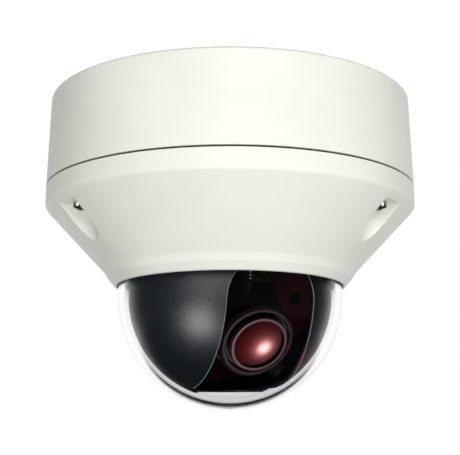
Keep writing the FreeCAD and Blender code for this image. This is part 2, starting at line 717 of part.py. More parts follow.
def pan_spindle():
    top = "-chassis_drop"
    tube = cylinder("spindle_r", "spindle_length", ("0", "0", f"{top} - spindle_length"))
    flange = cylinder("flange_r", "2", ("0", "0", f"{top} - 2"))
    bore = cylinder("spindle_bore_r", "20", ("0", "0", f"{top} - spindle_length - 2"))
    keep("pan_spindle", cut(fuse(tube, flange), bore))
    nut_at = ("0", "0", "-turntable_drop - 2 - hub_play")
    keep("pan_lock_nut", ring("lock_nut_r", "spindle_r + 0.02", "2", nut_at))


def pan_gears():
    module = size("pan_module")
    teeth = size("pan_teeth")
    pinion_teeth = size("pan_pinion_teeth")
    wall = size("pan_gear_wall")
    wheel = gear(teeth, module, wall, PINION_AZIMUTH - size("pan_rest"))
    wheel = wheel.cut(Part.makeCylinder(size("pan_gear_bore_r"), wall))
    low = size(PAN_GEAR_LOW)
    wheel.translate(Vector(0, 0, low))
    made("pan_gear", wheel, pan_frame())
    small = gear(pinion_teeth, module, wall + 0.5, -PINION_AZIMUTH + 180 / pinion_teeth)
    small = small.fuse(Part.makeCylinder(1.5, 12)).removeSplitter()
    small.translate(Vector(0, -size(PAN_REACH), low - 0.2))
    made("pan_pinion", small)


def pan_motor():
    y = f"-{PAN_REACH}"
    low = "-chassis_drop + chassis_wall"
    can = cylinder("pan_motor_r", "pan_motor_height", ("0", y, low))
    ears = block("2 * pan_motor_ear_x + 6", "7", "1", ("-pan_motor_ear_x - 3", f"{y} - 3.5", low))
    holes = [cylinder("1.55", "10", ("0", y, f"{low} - 1"))]
    for side in SIDES:
        holes.append(cylinder("1.4", "4", (f"{side} * pan_motor_ear_x", y, f"{low} - 1")))
    keep("pan_motor", cut(fuse(can, ears), *holes))


def turntable():
    low = "-turntable_drop"
    disc = fuse(
        cylinder("turntable_r", "turntable_wall", ("0", "0", low)),
        cylinder("flange_r", HUB_HEIGHT, ("0", "0", low)),
    )
    holes = [cylinder("bush_r", "30", ("0", "0", f"{low} - 6"))]
    screws = []
    for side in SIDES:
        for along in SIDES:
            x = f"{side} * yoke_screw_x"
            y = f"{along} * yoke_screw_y"
            holes.append(cylinder("middle_clear_r", "6", (x, y, f"{low} - 1")))
            head = cylinder("middle_head_r", "1.8", (x, y, f"{low} + turntable_wall"))
            shank = cylinder("middle_screw_r", "turntable_wall + 2", (x, y, f"{low} - 2"))
            screws.append(fuse(head, shank))
    keep("turntable", cut(disc, *holes), pan_frame())
    keep("yoke_screws", group(*screws), pan_frame())
    bush = ring("bush_r", "spindle_r + running_gap", HUB_HEIGHT, ("0", "0", low))
    keep("pan_bush", bush, pan_frame())


# ---------------------------------------------------------------- yoke and tilt drive


def yoke_arms():
    axis_z = "-tilt_axis_drop"
    foot_z = "-turntable_drop - arm_foot_wall"
    bushes = []
    for label, side in (("yoke_arm_left", -1), ("yoke_arm_right", 1)):
        near = "arm_near_x" if side > 0 else "-arm_near_x - arm_wall"
        foot_near = "arm_foot_x" if side > 0 else "-arm_near_x - arm_wall"
        height = "tilt_axis_drop - turntable_drop"
        wall = block("arm_wall", "2 * arm_half", height, (near, "-arm_half", axis_z))
        end = cylinder("arm_half", "arm_wall", (near, "0", axis_z), ALONG_X)
        foot_length = "arm_near_x + arm_wall - arm_foot_x"
        foot = block(foot_length, "2 * arm_half", "arm_foot_wall", (foot_near, "-arm_half", foot_z))
        through = "arm_wall + 2"
        holes = [
            cylinder("tilt_bush_r", through, (f"{near} - 1", "0", axis_z), ALONG_X),
            cylinder("1.0", through, (f"{near} - 1", "0", "-liner_screw_drop"), ALONG_X),
        ]
        for along in SIDES:
            hole_at = (f"{side} * yoke_screw_x", f"{along} * yoke_screw_y", f"{foot_z} - 1")
            holes.append(cylinder("1.52", "4", hole_at))
        keep(label, cut(fuse(wall, end, foot), *holes), pan_frame())
        bush_at = (near, "0", axis_z)
        bushes.append(ring("tilt_bush_r", "pivot_r + running_gap", "arm_wall", bush_at, ALONG_X))
    keep("tilt_bushes", group(*bushes), pan_frame())


def liner_screws():
    screws = []
    for side in SIDES:
        turn = ALONG_X if side > 0 else ALONG_X.inverted()
        shank = cylinder("0.95", "6.2", (f"{side} * (liner_r - 6.0)", "0", "-liner_screw_drop"), turn)
        head = cylinder("2.1", "0.8", (f"{side} * (liner_r + 0.1)", "0", "-liner_screw_drop"), turn)
        screws.append(fuse(shank, head))
    keep("liner_screws", group(*screws), pan_frame())


TILT_REACH = "tilt_module * (tilt_teeth + tilt_pinion_teeth) / 2"
TILT_PINION_Y = f"({TILT_REACH}) * sin(tilt_pinion_lean)"
TILT_PINION_Z = f"({TILT_REACH}) * cos(tilt_pinion_lean) - tilt_axis_drop"


def tilt_motor():
    face = "tilt_gear_x - 2.3"

    def along_shaft(radius, length, start):
        return cylinder(radius, length, (start, TILT_PINION_Y, TILT_PINION_Z), ALONG_X)

    can = along_shaft("tilt_motor_r", "tilt_motor_length", f"{face} - tilt_motor_length")
    keep("tilt_motor", cut(can, along_shaft("1.05", "12", f"{face} - 11")), pan_frame())
    plate = block("1.5", "18", "24", (face, "3", "-turntable_drop - 24"))
    foot = block("8.5", "18", "1.5", (f"{face} - 7", "3", "-turntable_drop - 1.5"))
    hole = along_shaft("2.2", "6", f"{face} - 2")
    clear = along_shaft("tilt_motor_r + 0.1", "tilt_motor_length + 0.1", f"{face} - tilt_motor_length - 0.1")
    keep("tilt_motor_bracket", cut(fuse(plate, foot), hole, clear), pan_frame())


def tilt_gears():
    """Both are drawn about Z, then laid along the tilt axis with drawing X as the frame's Y."""
    module = size("tilt_module")
    pinion_teeth = size("tilt_pinion_teeth")
    lean = size("tilt_pinion_lean")
    near = size("tilt_gear_x")
    wall = size("tilt_gear_wall")
    mesh = lean + size("tilt_rest")
    sector = gear_sector(size("tilt_teeth"), module, wall, -118, -26, -mesh)
    sector.Placement = Placement(Vector(near, 0, 0), LAID)
    behind_frame = Part.makeBox(10, 100, 100, Vector(near - 2, -50, -102.02))
    window = Part.makeCylinder(4.5, 10, Vector(near - 2, 5, -13), Vector(1, 0, 0))
    made("tilt_gear", sector.common(behind_frame).cut(window), head_frame())
    small = gear(pinion_teeth, module, wall + 0.4, 90 - lean + 180 + 180 / pinion_teeth)
    small = small.fuse(Part.makeCylinder(1.0, 12.0, Vector(0, 0, -12.0))).removeSplitter()
    shaft_at = Vector(near - 0.2, size(TILT_PINION_Y), size(TILT_PINION_Z))
    small.Placement = Placement(shaft_at, LAID)
    made("tilt_pinion", small, pan_frame())


def status_board():
    board = block("12", "1.2", "86 - turntable_drop", ("-12", "-39.7", "-86"))
    strap = block("8", "6", "1.0", ("-10", "-38.5", "-turntable_drop - 1"))
    keep("status_board", fuse(board, strap), pan_frame())


# ---------------------------------------------------------------- head


def tilt_frame():
    front = "disc_back - 0.4"
    half = "tilt_frame_half"
    start = "-arm_near_x + 0.6"
    bar = block("2 * arm_near_x - 1.2", f"2 * {half}", f"{front} + 2", (start, f"-{half}", "-2"))
    disc = cylinder("22", f"{front} + 2", ("0", "0", "-2"))
    ears = []
    holes = [cylinder("hub_r + running_gap", "20", ("0", "0", "-10"))]
    pivots = []
    for side in SIDES:
        near = "arm_near_x - 4.0" if side > 0 else start
        ears.append(block("3.4", f"2 * {half}", "7", (near, f"-{half}", "-8")))
        holes.append(cylinder("pivot_r + 0.02", "12", (f"{side} * (arm_near_x - 2) - 6", "0", "0"), ALONG_X))
        pivot_at = "arm_near_x - 4" if side > 0 else "-arm_near_x - arm_wall"
        pivots.append(cylinder("pivot_r", "arm_wall + 4", (pivot_at, "0", "0"), ALONG_X))
    keep("tilt_frame", cut(fuse(bar, disc, *ears), *holes), head_frame())
    keep("tilt_pivots", group(*pivots), head_frame())


def azimuth_disc():
    """The scalloped disc that turns the lens about its own axis, on a hub through the tilt frame."""
    back = size("disc_back")
    rim_r = size("disc_r")
    hub_r = size("hub_r")
    disc = ribbed(rim_r, size("scallop_depth"), size("disc_teeth"), size("disc_wall"))
    disc.translate(Vector(0, 0, back))
    hub = Part.makeCylinder(hub_r, back + 4.5, Vector(0, 0, -4.5))
    bore = Part.makeCylinder(size("disc_bore_r"), 30, Vector(0, 0, -10))
    shape = disc.fuse(hub).removeSplitter().cut(bore)
    for angle in range(0, 360, 60):
        window = Part.makeCylinder(size("disc_window_r"), 10, Vector(0, 0, back - 1))
        window.translate(at_angle(size("disc_window_circle_r"), math.radians(angle + 15)))
        shape = shape.cut(window)
    made("azimuth_disc", shape, head_frame())
    keep("disc_retainer", ring("20.5", "hub_r + 0.02", "1.8", ("0", "0", "-4.4")), head_frame())


def sensor_unit():
    front = "disc_back + disc_wall"
    tube = cylinder("sensor_tube_r", f"16 + {front}", ("0", "0", "-16"))
    flange = cylinder("20", "lens_flange_wall", ("0", "0", front))
    bore = cylinder("sensor_bore_r", "40", ("0", "0", "-17"))
    keep("sensor_housing", cut(fuse(tube, flange), bore), head_frame())
    holes = [cylinder("0.9", "4", (f"{side} * 12.9", "0", "-18")) for side in SIDES]
    keep("sensor_board", cut(cylinder("14.8", "1.6", ("0", "0", "-17.6")), *holes), head_frame())
    package = block("9", "8", "1.2", ("-4.5", "-4", "-16"))
    window = block("7", "6", "0.3", ("-3.5", "-3", "-14.8"))
    keep("image_sensor", fuse(package, window), head_frame())
    pane = cylinder("10", "1.4", ("0", "0", "-8.2"))
    mount = cylinder("sensor_bore_r - running_gap", "1", ("0", "0", "-8"))
    keep("infrared_filter", fuse(mount, pane), head_frame())


def lens_barrel():
    low = "disc_back + disc_wall + lens_flange_wall"
    tube = cylinder("barrel_r", f"barrel_front - ({low})", ("0", "0", low))
    flange = cylinder("17", "1.8", ("0", "0", low))
    bore = cylinder("barrel_bore_r", "40", ("0", "0", "0"))
    keep("lens_barrel", cut(fuse(tube, flange), bore), head_frame())
    outline = [
        ("barrel_bore_r + 0.05", "barrel_front"),
        ("barrel_r - 0.3", "barrel_front"),
        ("barrel_r - 0.5", "retainer_front"),
        ("barrel_bore_r + 0.05", "retainer_front"),
    ]
    keep("front_retaining_ring", turned("front_ring", outline), head_frame())


def front_lens():
    rim_r = "barrel_bore_r - 0.05"
    rise = "(lens_tip - lens_edge)"
    radius = f"(({rim_r})^2 + {rise}^2) / (2 * {rise})"
    dome = ball(radius, ("0", "0", f"lens_tip - {radius}"))
    rod = cylinder(rim_r, "10", ("0", "0", "lens_edge - 2"))
    keep("front_lens", common(dome, rod), head_frame())


def moving_cells():
    """Two lens cells that slide in the barrel, one for zoom and one for focus."""
    for name, low in (("zoom", "12"), ("focus", "23")):
        seat = ring("barrel_bore_r - running_gap", "cell_bore_r", "cell_length", ("0", "0", low))
        keep(f"{name}_cell", seat, head_frame())
        radius = "16"
        glass = common(
            cylinder("cell_bore_r - 0.05", "cell_length - 1", ("0", "0", f"{low} + 0.5")),
            ball(radius, ("0", "0", f"{low} + 4.3 - {radius}")),
        )
        keep(f"{name}_lens", glass, head_frame())


ZOOM_REACH = "zoom_module * (zoom_teeth + zoom_pinion_teeth) / 2"


def zoom_gears():
    module = size("zoom_module")
    teeth = size("zoom_teeth")
    pinion_teeth = size("zoom_pinion_teeth")
    angle = size("zoom_motor_angle")
    wall = size("zoom_wall")
    back = size("zoom_back")
    length = size("zoom_length")
    wheel = gear(teeth, module, wall, angle)
    wheel = wheel.fuse(Part.makeCylinder(size("zoom_sleeve_r"), length)).removeSplitter()
    wheel = wheel.cut(Part.makeCylinder(size("barrel_r + running_gap"), length + 5))
    wheel.translate(Vector(0, 0, back))
    made("zoom_ring", wheel, head_frame())
    small = gear(pinion_teeth, module, wall + 0.2, angle + 180 + 180 / pinion_teeth)
    small = small.fuse(Part.makeCylinder(0.8, 12)).removeSplitter()
    small.translate(at_angle(size(ZOOM_REACH), math.radians(angle)) + Vector(0, 0, back - 0.1))
    made("zoom_pinion", small, head_frame())


def zoom_motor():
    can = cylinder("zoom_motor_r", "11.5", polar(ZOOM_REACH, "zoom_motor_angle", "zoom_motor_back"))
    shaft_hole = cylinder("0.85", "7", polar(ZOOM_REACH, "zoom_motor_angle", "zoom_motor_back - 0.5"))
    keep("zoom_motor", cut(can, shaft_hole), head_frame())
    front = "disc_back + disc_wall"
    plate_at = polar(ZOOM_REACH, "zoom_motor_angle", "bracket_back")
    plate = cylinder("zoom_motor_r + 0.2", "bracket_wall", plate_at)
    posts = []
    for side in SIDES:
        place = polar("26", f"zoom_motor_angle + {side} * 15", front)
        posts.append(cylinder("1.6", f"bracket_back + bracket_wall - ({front})", place))
        corner = polar("24", f"zoom_motor_angle + {side} * 9 - 8", "bracket_back")
        tab = block("2.8", "8", "bracket_wall", corner)
        tab.Placement.Rotation = Rotation(Z_AXIS, size("zoom_motor_angle"))
        posts.append(tab)
    bracket = cut(fuse(plate, *posts), cylinder("1.1", "4", plate_at))
    keep("zoom_motor_bracket", bracket, head_frame())


def focus_ring():
    low = size("focus_back")
    high = size("focus_front")
    radius = size("focus_r")
    chamfer = size("focus_chamfer")
    recess = size("focus_recess")
    body = ribbed(radius, size("focus_rib_depth"), size("focus_ribs"), high - low)
    body.translate(Vector(0, 0, low))
    envelope = Part.makeCylinder(radius, high - low - chamfer, Vector(0, 0, low))
    nose = Part.makeCone(radius, radius - chamfer, chamfer, Vector(0, 0, high - chamfer))
    smooth = Part.makeCylinder(radius + 0.7, size("focus_collar"), Vector(0, 0, low))
    body = body.common(envelope.fuse(nose)).fuse(smooth).removeSplitter()
    body = body.cut(Part.makeCylinder(size("barrel_r + running_gap"), 30, Vector(0, 0, low - 1)))
    body = body.cut(Part.makeCylinder(size("focus_recess_r"), recess + 3, Vector(0, 0, high - recess)))
    angle = math.radians(size("knob_angle"))
    start = at_angle(13.0, angle) + Vector(0, 0, size("knob_along"))
    thread = Part.makeCylinder(size("knob_stem_r") + 0.05, 8, start, at_angle(1, angle))
    made("focus_ring", body.cut(thread), head_frame())


def lock_knob():
    radius = size("knob_r")
    start = size("focus_r") + 1.0
    length = size("knob_tip") - start
    grip = ribbed(radius, 0.3, size("knob_ribs"), length)
    nose = Part.makeCone(radius, radius - 0.6, 0.6, Vector(0, 0, length - 0.6))
    grip = grip.common(Part.makeCylinder(radius, length - 0.6).fuse(nose)).removeSplitter()
    grip.translate(Vector(0, 0, start))
    stem_start = size("knob_stem_start")
    stem = Part.makeCylinder(size("knob_stem_r"), start - stem_start + 1, Vector(0, 0, stem_start))
    shape = grip.fuse(stem).removeSplitter()
    turn = Rotation(Z_AXIS, size("knob_angle")) * ALONG_X
    shape.Placement = Placement(Vector(0, 0, size("knob_along")), turn)
    made("lock_knob", shape, head_frame())


# ---------------------------------------------------------------- build and write


def build():
    fill_sheet()
    base_housing()
    conduit_entry()
    main_gasket()
    cover_shell()
    cover_screws()
    dome_parts()
    inner_liner()
    chassis()
    boards()
    board_components()
    pan_spindle()
    pan_gears()
    pan_motor()
    turntable()
    yoke_arms()
    liner_screws()
    tilt_motor()
    tilt_gears()
    status_board()
    tilt_frame()
    azimuth_disc()
    sensor_unit()
    lens_barrel()
    front_lens()
    moving_cells()
    zoom_gears()
    zoom_motor()
    focus_ring()
    lock_knob()
    doc.recompute()


def inspect():
    for thing in doc.Objects:
        if "Invalid" in thing.State or "Error" in thing.State:
            raise RuntimeError(f"{thing.Label} is {thing.State}")
    for piece in sub_parts:
        if piece.Shape.isNull() or not piece.Shape.isValid() or not piece.Shape.Solids:
            raise RuntimeError(f"{piece.Label} has no valid shape")


def write():
    os.makedirs("parts", exist_ok=True)
    for piece in sub_parts:
        piece.Shape.exportStep(f"parts/{piece.Label}.step")
    print(len(sub_parts), "sub-parts")


build()
inspect()
write()
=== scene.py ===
"""Ceiling dome camera: materials, small trim, studio and camera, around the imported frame."""

import json
import math
import bmesh
import bpy
from mathutils import Matrix, Vector

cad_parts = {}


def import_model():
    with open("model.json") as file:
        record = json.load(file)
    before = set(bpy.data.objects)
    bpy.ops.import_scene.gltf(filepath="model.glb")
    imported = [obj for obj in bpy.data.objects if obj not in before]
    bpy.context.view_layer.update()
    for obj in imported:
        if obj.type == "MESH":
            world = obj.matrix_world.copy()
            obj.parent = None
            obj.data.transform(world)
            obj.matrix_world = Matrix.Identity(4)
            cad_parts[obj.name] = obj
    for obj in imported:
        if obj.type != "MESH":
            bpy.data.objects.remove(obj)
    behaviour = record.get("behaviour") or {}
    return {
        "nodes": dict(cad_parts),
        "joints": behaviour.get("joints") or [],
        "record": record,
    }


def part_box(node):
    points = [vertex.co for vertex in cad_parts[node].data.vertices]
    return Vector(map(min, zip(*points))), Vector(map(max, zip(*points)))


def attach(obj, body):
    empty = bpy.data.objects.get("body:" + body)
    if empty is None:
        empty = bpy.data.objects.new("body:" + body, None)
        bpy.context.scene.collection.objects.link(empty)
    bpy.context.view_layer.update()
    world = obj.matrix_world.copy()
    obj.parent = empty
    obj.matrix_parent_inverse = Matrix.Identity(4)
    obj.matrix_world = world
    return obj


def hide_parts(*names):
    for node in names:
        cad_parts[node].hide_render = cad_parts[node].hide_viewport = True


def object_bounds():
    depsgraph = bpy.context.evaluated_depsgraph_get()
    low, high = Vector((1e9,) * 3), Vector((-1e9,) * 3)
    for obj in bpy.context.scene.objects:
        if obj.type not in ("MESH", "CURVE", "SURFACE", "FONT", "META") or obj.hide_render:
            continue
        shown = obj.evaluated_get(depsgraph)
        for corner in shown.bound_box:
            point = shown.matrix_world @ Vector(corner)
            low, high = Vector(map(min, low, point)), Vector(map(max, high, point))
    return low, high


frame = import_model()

CAD_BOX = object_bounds()
MM = 0.001
NODES = frame["nodes"]
RECORD = frame["record"]
JOINTS = {joint["name"]: joint for joint in frame["joints"]}

# ---------------------------------------------------------------- frame directions

LENS_AXIS = Vector(JOINTS["lens_rotation"]["axis"]).normalized()
TILT_AXIS = Vector(JOINTS["tilt"]["axis"]).normalized()
LENS_UP = LENS_AXIS.cross(TILT_AXIS).normalized()
TILT_CENTRE = Vector(JOINTS["tilt"]["pos_m"])
FORWARD = Vector((LENS_AXIS.x, LENS_AXIS.y, 0)).normalized()
HEAD = Matrix((TILT_AXIS, LENS_UP, LENS_AXIS)).transposed().to_4x4()
HEAD.translation = TILT_CENTRE
PAN = Matrix((TILT_AXIS, -FORWARD, Vector((0, 0, 1)))).transposed().to_4x4()

# ---------------------------------------------------------------- sizes in millimetres, as in the CAD

LINER_LOW, LINER_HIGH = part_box("inner_liner")
LINER_R = (LINER_HIGH[0] - LINER_LOW[0]) / 2 / MM
LENS_RIM = 10.85
LENS_TIP = 36.3
LENS_RISE = 2.3
SPHERE_Z = -87.1
SLOT_HALF = 19.3
ARCH_Z = -93.2
SLOT_FOOT = SPHERE_Z - math.sqrt(LINER_R ** 2 - SLOT_HALF ** 2) + 0.5
LAMP_COUNT = 4
LAMP_RADIUS = 0.3
LAMP_FOOT = 1.0
LAMP_PITCH = 1.4
BEAD_THICKNESS = 0.18
TRIM_RING_R = 13.95
TRIM_RING_HEIGHT = 33.42
TRIM_RING_THICKNESS = 0.22

# ---------------------------------------------------------------- material tools


class Recipe:
    """One material's node tree, with a Principled shader at its end."""

    def __init__(self, name, colour, rough, **sockets):
        self.material = bpy.data.materials.new(name)
        self.material.use_nodes = True
        self.tree = self.material.node_tree
        self.shader = self.tree.nodes["Principled BSDF"]
        self.shader.inputs["Base Color"].default_value = (*colour, 1)
        self.shader.inputs["Roughness"].default_value = rough
        for socket, value in sockets.items():
            self.shader.inputs[socket.replace("_", " ")].default_value = value
        self.normal = None
        self.place = None

    def node(self, kind, **settings):
        made = self.tree.nodes.new(kind)
        for key, value in settings.items():
            if key in made.inputs:
                made.inputs[key].default_value = value
            else:
                setattr(made, key, value)
        return made

    def link(self, source, target):
        self.tree.links.new(source, target)

    def coordinates(self):
        if self.place is None:
            self.place = self.node("ShaderNodeTexCoord").outputs["Object"]
        return self.place

    def noise(self, per_metre, detail=4.0, rough=0.6):
        texture = self.node("ShaderNodeTexNoise", Scale=per_metre, Detail=detail, Roughness=rough)
        self.link(self.coordinates(), texture.inputs["Vector"])
        return texture.outputs["Fac"]

    def voronoi(self, per_metre, feature="F1"):
        texture = self.node("ShaderNodeTexVoronoi", Scale=per_metre)
        texture.feature = feature
        self.link(self.coordinates(), texture.inputs["Vector"])
        return texture.outputs["Distance"]

    def ramp(self, value, low, high, low_at=0.35, high_at=0.65):
        mapped = self.node("ShaderNodeMapRange")
        self.link(value, mapped.inputs["Value"])
        for socket, number in zip(("From Min", "From Max", "To Min", "To Max"), (low_at, high_at, low, high)):
            mapped.inputs[socket].default_value = number
        return mapped.outputs["Result"]

    def tint(self, factor, first, second):
        mix = self.node("ShaderNodeMix", data_type="RGBA")
        self.link(factor, mix.inputs["Factor"])
        colours = [socket for socket in mix.inputs if socket.type == "RGBA"]
        colours[0].default_value = (*first, 1)
        colours[1].default_value = (*second, 1)
        return [socket for socket in mix.outputs if socket.type == "RGBA"][0]

    def bump(self, height, depth, strength=1.0):
        made = self.node("ShaderNodeBump", Distance=depth, Strength=strength)
        self.link(height, made.inputs["Height"])
        if self.normal is not None:
            self.link(self.normal, made.inputs["Normal"])
        self.normal = made.outputs["Normal"]
        self.link(self.normal, self.shader.inputs["Normal"])
        return self

    def colour(self, output):
        self.link(output, self.shader.inputs["Base Color"])
        return self

    def roughness(self, output):
        self.link(output, self.shader.inputs["Roughness"])
        return self


def shade(colour, factor):
    return tuple(min(1.0, channel * factor) for channel in colour)


# ---------------------------------------------------------------- materials

IVORY = (0.785, 0.797, 0.725)
# painted glow: the brighter red round the lens crown's highlight
PAINTED_GLOW_RED = (0.36, 0.014, 0.016)
RIM_RED = (0.14, 0.008, 0.012)
CAD_SMOOTH = 32
PIECE_SMOOTH = 40


def powder_coat(name="ivory powder coat", colour=IVORY):
    """Satin coat: fine orange peel and faint cloudiness."""
    made = Recipe(name, colour, 0.42, Coat_Weight=0.12, Coat_Roughness=0.3)
    clouds = made.ramp(made.noise(28, 5), 0.0, 1.0)
    made.colour(made.tint(clouds, shade(colour, 0.975), shade(colour, 1.02)))
    made.roughness(made.ramp(made.noise(180, 4), 0.38, 0.47))
    made.bump(made.noise(900, 3, 0.5), 0.00004, 0.5)
    made.bump(made.noise(3600, 2, 0.5), 0.000012, 0.5)
    return made


def moulded(name, colour, rough=0.5, grain=2600, depth=0.00003, spread=0.06):
    """Plastic with a fine spark-eroded grain."""
    made = Recipe(name, colour, rough)
    clouds = made.ramp(made.noise(60, 5), 0, 1)
    made.colour(made.tint(clouds, shade(colour, 1 - spread), shade(colour, 1 + spread)))
    made.roughness(made.ramp(made.noise(420, 4), rough - 0.05, rough + 0.06))
    made.bump(made.noise(grain, 3, 0.6), depth, 0.7)
    return made


def liner_plastic():
    """Slate black with a coarser spark-eroded grain that breaks up its soft highlight."""
    colour = (0.004, 0.008, 0.012)
    made = Recipe("liner plastic", colour, 0.36, Specular_IOR_Level=0.9)
    made.colour(made.tint(made.ramp(made.noise(900, 6, 0.7), 0, 1), shade(colour, 0.82), shade(colour, 1.2)))
    made.roughness(made.ramp(made.noise(1300, 4), 0.29, 0.40))
    made.bump(made.noise(1500, 4, 0.65), 0.00008, 0.75)
    return made


def metal(name, colour, rough=0.3, grain=1400, depth=0.000015, brushed=(1, 1, 12)):
    """Machined or drawn metal with fine streaks."""
    made = Recipe(name, colour, rough, Metallic=1.0)
    stretch = made.node("ShaderNodeMapping")
    stretch.inputs["Scale"].default_value = brushed
    made.link(made.coordinates(), stretch.inputs["Vector"])
    made.place = stretch.outputs["Vector"]
    streaks = made.noise(grain, 4, 0.6)
    made.colour(made.tint(made.ramp(streaks, 0, 1), shade(colour, 0.88), shade(colour, 1.05)))
    made.roughness(made.ramp(streaks, rough - 0.05, rough + 0.08))
    made.bump(streaks, depth, 0.6)
    return made


def rubber(name, colour):
    made = Recipe(name, colour, 0.75)
    made.colour(made.tint(made.ramp(made.noise(300, 5), 0, 1), shade(colour, 0.8), shade(colour, 1.25)))
    made.bump(made.noise(2200, 4), 0.00004, 0.7)
    return made


def polycarbonate():
    """Clear bubble, with faint waviness from moulding."""
    made = Recipe("clear polycarbonate", (0.996, 0.999, 0.999), 0.0, IOR=1.5, Transmission_Weight=1.0)
    made.bump(made.noise(9, 1, 0.3), 0.00005, 0.04)
    return made


def coated_glass():
    """Deep red coated front element, with a painted glow: brighter red at its crown, round its highlight,
    than at its rim.
    """
    coat = {"Metallic": 0.35, "Coat_Weight": 1.0, "Coat_Roughness": 0.19, "Coat_IOR": 1.8}
    made = Recipe("red coated glass", (0.24, 0.010, 0.012), 0.36, **coat)
    radius = made.node("ShaderNodeVectorMath", operation="DISTANCE")
    made.link(made.coordinates(), radius.inputs[0])
    radius.inputs[1].default_value = TILT_CENTRE + LENS_AXIS * LENS_TIP * MM
    # painted glow: brighter red near the crown, fading to the rim's red
    glow_falloff = made.ramp(radius.outputs["Value"], 0, 1, 0.002, 0.0105)
    made.colour(made.tint(glow_falloff, PAINTED_GLOW_RED, RIM_RED))
    made.roughness(made.ramp(made.noise(700, 3), 0.31, 0.38))
    return made


def clear_glass(name, colour):
    made = Recipe(name, colour, 0.03, IOR=1.5, Transmission_Weight=0.9)
    made.roughness(made.ramp(made.noise(400, 2), 0.02, 0.05))
    return made


def circuit_board():
    """Green solder mask with lighter tracks and tinned vias."""
    made = Recipe("circuit board", (0.012, 0.11, 0.045), 0.32)
    tracks = made.node("ShaderNodeTexBrick", Scale=140.0)
    tracks.inputs["Mortar Size"].default_value = 0.035
    tracks.inputs["Color1"].default_value = (0.003, 0.020, 0.010, 1)
    tracks.inputs["Color2"].default_value = (0.004, 0.026, 0.012, 1)
    tracks.inputs["Mortar"].default_value = (0.010, 0.070, 0.028, 1)
    made.link(made.coordinates(), tracks.inputs["Vector"])
    vias = made.ramp(made.voronoi(420), 1.0, 0.0, 0.10, 0.16)
    mix = made.node("ShaderNodeMix", data_type="RGBA")
    colours = [socket for socket in mix.inputs if socket.type == "RGBA"]
    made.link(vias, mix.inputs["Factor"])
    made.link(tracks.outputs["Color"], colours[0])
    colours[1].default_value = (0.55, 0.52, 0.42, 1)
    made.colour([socket for socket in mix.outputs if socket.type == "RGBA"][0])
    made.bump(tracks.outputs["Fac"], 0.00003, 0.5)
    return made


def build_materials():
    return {
        "ivory_coat": powder_coat(),
        "ivory_plastic": moulded("ivory plastic", (0.74, 0.745, 0.67), 0.48),
        "black_rubber": rubber("black rubber", (0.02, 0.02, 0.021)),
        "grey_rubber": rubber("gasket rubber", (0.045, 0.046, 0.043)),
        "stainless": metal("stainless", (0.62, 0.60, 0.56), 0.24),
        "black_screw": metal("black oxide", (0.05, 0.05, 0.055), 0.42),
        "clear_polycarbonate": polycarbonate(),
        "black_metal": moulded("satin black metal", (0.022, 0.022, 0.025), 0.38, 3200),
        "zinc_steel": metal("zinc plated steel", (0.56, 0.58, 0.60), 0.36, 700),
        "green_board": circuit_board(),
        "green_terminal": moulded("terminal plastic", (0.03, 0.24, 0.07), 0.45),
        "brass": metal("brass", (0.66, 0.50, 0.22), 0.28),
        "bronze": metal("sintered bronze", (0.42, 0.28, 0.14), 0.46),
        "connector_shell": metal("connector shell", (0.66, 0.66, 0.65), 0.3),
        "capacitor_can": metal("capacitor can", (0.24, 0.26, 0.30), 0.34),
        "chip": moulded("chip package", (0.018, 0.018, 0.019), 0.55),
        "machined_aluminium": metal("machined aluminium", (0.68, 0.69, 0.70), 0.3),
        "motor_can": metal("motor can", (0.42, 0.42, 0.42), 0.34),
        "gear_plastic": moulded("gear acetal", (0.66, 0.65, 0.58), 0.42),
        "liner_plastic": liner_plastic(),
        "head_plastic": moulded("head plastic", (0.014, 0.016, 0.020), 0.42, 2200),
        "filter_glass": clear_glass("filter glass", (0.55, 0.85, 0.85)),
        "lens_metal": metal("black anodised", (0.035, 0.033, 0.035), 0.4),
        "lens_ring": moulded("lens ring", (0.026, 0.020, 0.023), 0.36, 3000),
        "red_glass": coated_glass(),
        "retainer_metal": metal("retainer", (0.20, 0.16, 0.17), 0.34),
        # painted highlight: a lighter grey for the bead on the liner's slot edge, where that edge catches the
        # light
        "painted_slot_highlight": moulded("slot painted highlight", (0.20, 0.23, 0.25), 0.3),
        "lens_glass": clear_glass("lens glass", (0.90, 0.95, 0.95)),
        "knob_metal": metal("blued steel", (0.05, 0.065, 0.12), 0.34),
    }


def paint(obj, material):
    obj.data.materials.clear()
    obj.data.materials.append(material)


def paint_frame(materials):
    slots = {entry["node"]: entry["material_slot"] for entry in RECORD["subparts"]}
    for name, obj in NODES.items():
        paint(obj, materials[slots[name]].material)
        smooth_by_angle(obj, CAD_SMOOTH)


def smooth_by_angle(obj, degrees):
    mesh = obj.data
    mesh.shade_smooth()
    mesh.set_sharp_from_angle(angle=math.radians(degrees))


# ---------------------------------------------------------------- trim pieces


def new_piece(name, build, material, body, where=None):
    """A mesh piece built by a bmesh function, placed, painted and riding on a body."""
    mesh = bpy.data.meshes.new(name)
    work = bmesh.new()
    build(work)
    if where is not None:
        bmesh.ops.transform(work, matrix=where, verts=work.verts)
    bmesh.ops.recalc_face_normals(work, faces=work.faces)
    work.to_mesh(mesh)
    work.free()
    obj = bpy.data.objects.new(name, mesh)
    bpy.context.scene.collection.objects.link(obj)
    paint(obj, material.material)
    smooth_by_angle(obj, PIECE_SMOOTH)
    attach(obj, body)
    return obj


